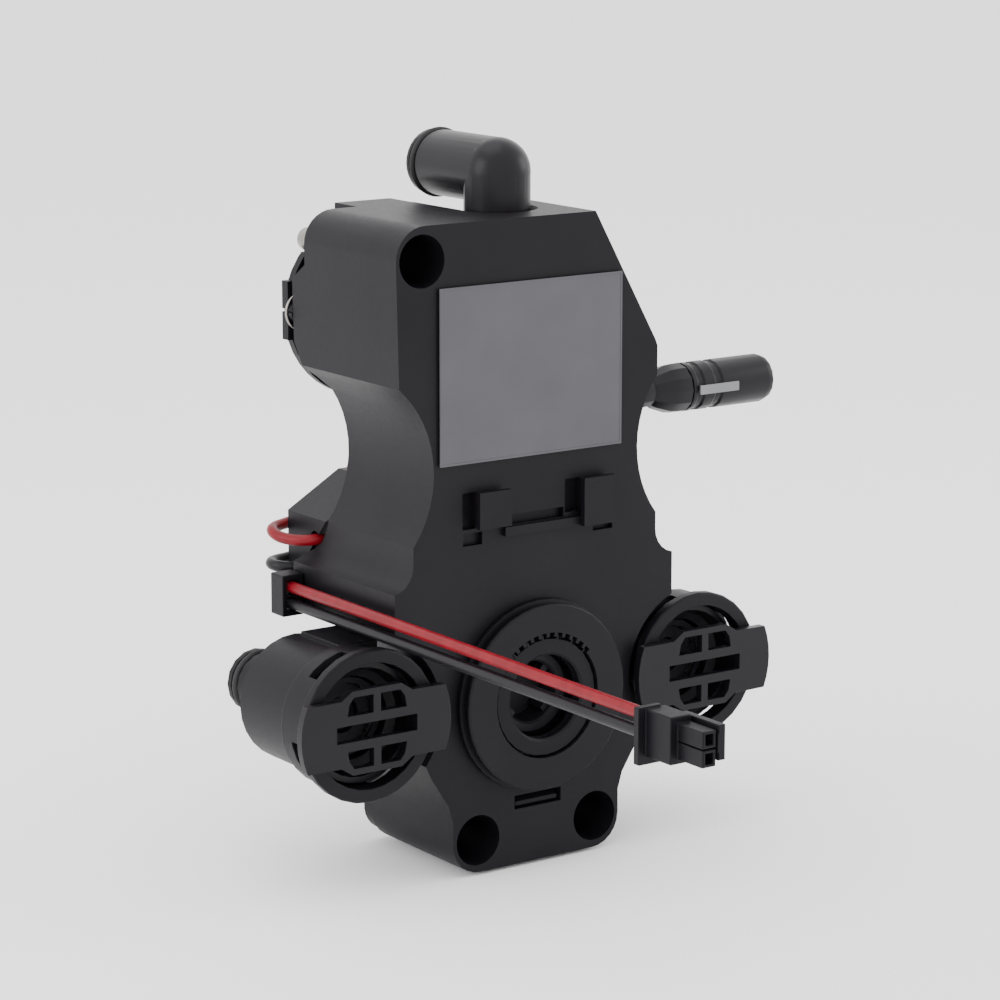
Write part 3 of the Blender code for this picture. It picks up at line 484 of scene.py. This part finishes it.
def smooth_route(anchors, spacing):
    """Evenly spread points on a smooth curve through the anchors."""
    ends = [anchors[0]] + list(anchors) + [anchors[-1]]
    dense = []
    for i in range(len(anchors) - 1):
        p0, p1, p2, p3 = (Vector(p) for p in ends[i : i + 4])
        for step in range(CURVE_STEPS):
            t = step / CURVE_STEPS
            dense.append(
                0.5
                * (
                    2 * p1
                    + (p2 - p0) * t
                    + (2 * p0 - 5 * p1 + 4 * p2 - p3) * t**2
                    + (3 * p1 - p0 - 3 * p2 + p3) * t**3
                )
            )
    dense.append(Vector(anchors[-1]))
    total = sum((b - a).length for a, b in zip(dense, dense[1:]))
    count = max(2, round(total / spacing))
    route = [dense[0]]
    walked = 0.0
    for a, b in zip(dense, dense[1:]):
        length = (b - a).length
        while len(route) < count and walked + length >= total * len(route) / count:
            share = (total * len(route) / count - walked) / length
            route.append(a.lerp(b, share))
        walked += length
    route.append(dense[-1])
    return [tuple(p) for p in route]


def cable(name, points, radius, resolution=4):
    """A round cord along points (x, depth, z), as a curve."""
    curve = bpy.data.curves.new(name, "CURVE")
    curve.dimensions = "3D"
    curve.bevel_depth = radius * MM
    curve.bevel_resolution = resolution
    curve.use_fill_caps = True
    spline = curve.splines.new("POLY")
    spline.points.add(len(points) - 1)
    for point, place in zip(spline.points, points):
        point.co = (*spot(*place), 1)
    obj = bpy.data.objects.new(name, curve)
    bpy.context.scene.collection.objects.link(obj)
    for part in curve.splines:
        part.use_smooth = True
    return obj


# The two free leads, point for point as in the CAD model
LEAD_X = -34.5
RED_Z = 19.3
BLACK_Z = 16.1
WIRE_RADIUS = 1.1
LEAD_SPACING = 1.6       # between the points of a free lead
COIL_LEAD_SPACING = 0.8


def lead_route(clip_height, exit_height):
    return [
        (-23.4, 29.8, exit_height), (-23.4, 33.0, exit_height), (-24.2, 36.6, exit_height - 0.3),
        (-26.4, 39.2, exit_height - 0.7), (-29.4, 40.2, exit_height - 0.6), (-32.2, 39.2, exit_height - 0.2),
        (-34.0, 36.6, clip_height - 0.4), (LEAD_X, 33.2, clip_height), (LEAD_X, 26.0, clip_height),
        (LEAD_X, 10.0, clip_height), (LEAD_X, -10.0, clip_height), (LEAD_X, -30.0, clip_height),
        (LEAD_X, -50.0, clip_height), (LEAD_X, -68.0, clip_height), (LEAD_X, -80.6, clip_height),
    ]


def add_free_leads(materials):
    leads = (
        ("red", lead_route(RED_Z, 18.2), ("connector_housing", "connector_latch", "red_terminal")),
        ("black", lead_route(BLACK_Z, 15.1), ("connector_housing", "black_terminal")),
    )
    for colour, anchors, on_it in leads:
        points = smooth_route(anchors, LEAD_SPACING)
        obj = cable(f"{colour}_lead_cord", points, WIRE_RADIUS)
        publish(
            obj.name, obj, materials[f"{colour}_insulation"], "valve_block",
            f"{colour}_insulation", f"{colour}_lead",
        )


def add_coil_leads(materials):
    red = [
        (-9.0, 46.0, 59.6), (-9.2, 46.6, 50.0), (-10.2, 46.6, 40.0), (-14.0, 46.4, 32.5), (-20.0, 46.0, 29.4),
        (-26.1, 45.2, 28.6), (-30.6, 43.8, 28.3), (-32.4, 41.9, 28.1), (-32.6, 39.4, 27.5),
        (-31.4, 36.4, 27.2), (-29.7, 34.0, 27.3), (-27.9, 33.2, 27.4), (-26.4, 33.2, 27.4),
    ]
    black = [
        (-6.6, 46.2, 60.6), (-6.6, 46.8, 50.0), (-7.2, 46.8, 38.0), (-10.5, 46.6, 27.0), (-18.0, 46.2, 22.6),
        (-26.1, 45.4, 21.6), (-30.6, 44.2, 21.6), (-32.5, 42.3, 21.6), (-32.4, 40.0, 21.5),
        (-30.8, 38.3, 21.4), (-28.7, 37.4, 21.4), (-26.4, 37.2, 21.4),
    ]
    for colour, anchors in (("red", red), ("black", black)):
        points = smooth_route(anchors, COIL_LEAD_SPACING)
        obj = cable(f"{colour}_coil_lead_sleeve", points, WIRE_RADIUS)
        publish(
            obj.name, obj, materials[f"{colour}_insulation"], "valve_block",
            f"{colour}_insulation", f"{colour}_coil_lead",
        )


ELBOW_X = 0.96
PORT_X = 38.0
SEAL_SHARE = 0.98        # thickness of a seal here, as a share of the solid's


def add_seals(materials):
    """The O-rings and the wire ring, round in section."""
    # Name, axis, centre, radius of the ring, radius of its section, body
    rings = (
        ("elbow_tip_seal", "Y", (ELBOW_X, 33.7, 97.5), 6.1, 0.62, "outlet"),
        ("elbow_foot_seal", "Z", (ELBOW_X, 14.5, 81.5), 5.98, 0.6, "outlet"),
        ("left_nozzle_seal", "Y", (-PORT_X, 37.4, 0), 5.75, 0.72, "valve_block"),
        ("right_nozzle_seal", "Y", (PORT_X, 37.4, 0), 5.75, 0.72, "valve_block"),
        ("spindle_seal", "Y", (0, 9.4, 0), 9.2, 0.8, "mixer"),
    )
    for name, axis, at, radius, thick, body in rings:
        mesh = swept_ring(f"{name}_ring", axis, at, radius, round_section(thick * SEAL_SHARE))
        publish(mesh.name, mesh, materials["seal_rubber"], body, "seal_rubber", name)
    wire = round_section(0.28, 12)
    mesh = swept_ring("wire_ring", "Y", (-28.0, 37.2, 70.8), 3.5, wire)
    publish(mesh.name, mesh, materials["stainless_steel"], "valve_block", "stainless_steel", "steel_ring")


SPRING_TURNS = 4
SPRING_STEPS = 140
CLOSED_END = 0.12        # share of the wire in each flat end
RISING = 0.76            # share of it between them


def add_springs(materials):
    """Coil springs with closed, flat ends."""
    # Name, x, z, radius of the coil, first and last depth, radius of the wire, body
    springs = (
        ("left_check_spring", -PORT_X, 0.0, 2.3, 13.4, 17.0, 0.28, "left_insert"),
        ("right_check_spring", PORT_X, 0.0, 2.3, 13.4, 17.0, 0.28, "right_insert"),
        ("plunger_spring", -13.0, 70.5, 1.9, 45.7, 49.0, 0.26, "valve_block"),
    )
    for name, x, z, radius, start, end, wire, body in springs:
        points = []
        for i in range(SPRING_STEPS + 1):
            share = i / SPRING_STEPS
            rise = min(max((share - CLOSED_END) / RISING, 0.0), 1.0)
            angle = 2 * math.pi * SPRING_TURNS * share
            depth = start + (end - start) * rise
            points.append((x + radius * math.cos(angle), depth, z + radius * math.sin(angle)))
        obj = cable(f"{name}_coil", points, wire, 2)
        publish(obj.name, obj, materials["spring_steel"], body, "spring_steel", name)


def add_filter_screens(materials):
    """A woven sleeve inside each filter basket, its dark grey painted shade."""
    for side, x in (("left", -PORT_X), ("right", PORT_X)):
        section = [(-0.08, 8.0), (0.08, 8.0), (0.08, 21.4), (-0.08, 21.4)]
        mesh = swept_ring(f"{side}_filter_screen", "Y", (x, 0, 0), 6.25, section)
        publish(mesh.name, mesh, materials["filter_mesh_painted_shade"], f"{side}_insert", "natural_plastic")


BOOT_START = (26.9, 12.0, 52.7)
RIB_COUNT = 4
RIB_STEP = 0.62
RIB_FLARE = 0.055
BOOT_RADIUS = 2.6


def add_boot_ribs(materials):
    """Grip rings on the coupler's boot, each a little wider than the one before."""
    x, depth, z = BOOT_START
    section = [(-0.05, -0.2), (0.12, -0.14), (0.17, 0.0), (0.12, 0.14), (-0.05, 0.2)]
    for i in range(RIB_COUNT):
        at = (x + i * RIB_STEP, depth, z)
        mesh = swept_ring(f"boot_rib_{i}", "X", at, BOOT_RADIUS + i * RIB_FLARE, section)
        publish(mesh.name, mesh, materials["black_plastic"], "valve_block", "black_plastic")


RIM_FOOT = -0.69         # depth, just inside the label's face
RIM_TOP = -0.76
RIM_INSET = 0.997        # draws the crest in from the outer edge


def add_label_rim(materials):
    """A fine raised rim round the bare label."""
    shape = bmesh.new()
    outer = [(-22.3, 46.2), (19.0, 46.2), (19.0, 79.0), (-22.3, 79.0)]
    crest = [(x * RIM_INSET, z) for x, z in outer]
    inner = [(-21.9, 46.6), (18.6, 46.6), (18.6, 78.6), (-21.9, 78.6)]
    rings = []
    for depth, loop in ((RIM_FOOT, outer), (RIM_TOP, crest), (RIM_TOP, inner), (RIM_FOOT, inner)):
        rings.append([shape.verts.new(spot(x, depth, z)) for x, z in loop])
    for a, b in zip(rings, rings[1:] + rings[:1]):
        for i in range(4):
            shape.faces.new((a[i], a[(i + 1) % 4], b[(i + 1) % 4], b[i]))
    bmesh.ops.recalc_face_normals(shape, faces=shape.faces)
    mesh = bpy.data.meshes.new("label_rim")
    shape.to_mesh(mesh)
    shape.free()
    publish("label_rim", mesh, materials["label_foil"], "valve_block", "label_foil")


# ---------------------------------------------------------------- assembly


add_camera()
add_studio()
MATERIALS = make_materials()
SLOTS = {entry["node"]: entry["material_slot"] for entry in frame["record"]["subparts"]}
finish_cad_nodes(MATERIALS, SLOTS)
# Painted shade: the pieces deep in the caps and the dial take the grey matched to the shade there, not their
# own colour.
for inner in ("left_filter_basket", "right_filter_basket", "left_check_body", "right_check_body", "spindle"):
    NODES[inner].data.materials[0] = MATERIALS["hollow_shade_grey"]
for glossy in ("outlet_elbow", "left_service_cap", "right_service_cap", "coupler_cap", "coupler_socket"):
    NODES[glossy].data.materials[0] = MATERIALS["gloss_black"]
add_free_leads(MATERIALS)
add_coil_leads(MATERIALS)
add_seals(MATERIALS)
add_springs(MATERIALS)
add_filter_screens(MATERIALS)
add_boot_ribs(MATERIALS)
add_label_rim(MATERIALS)
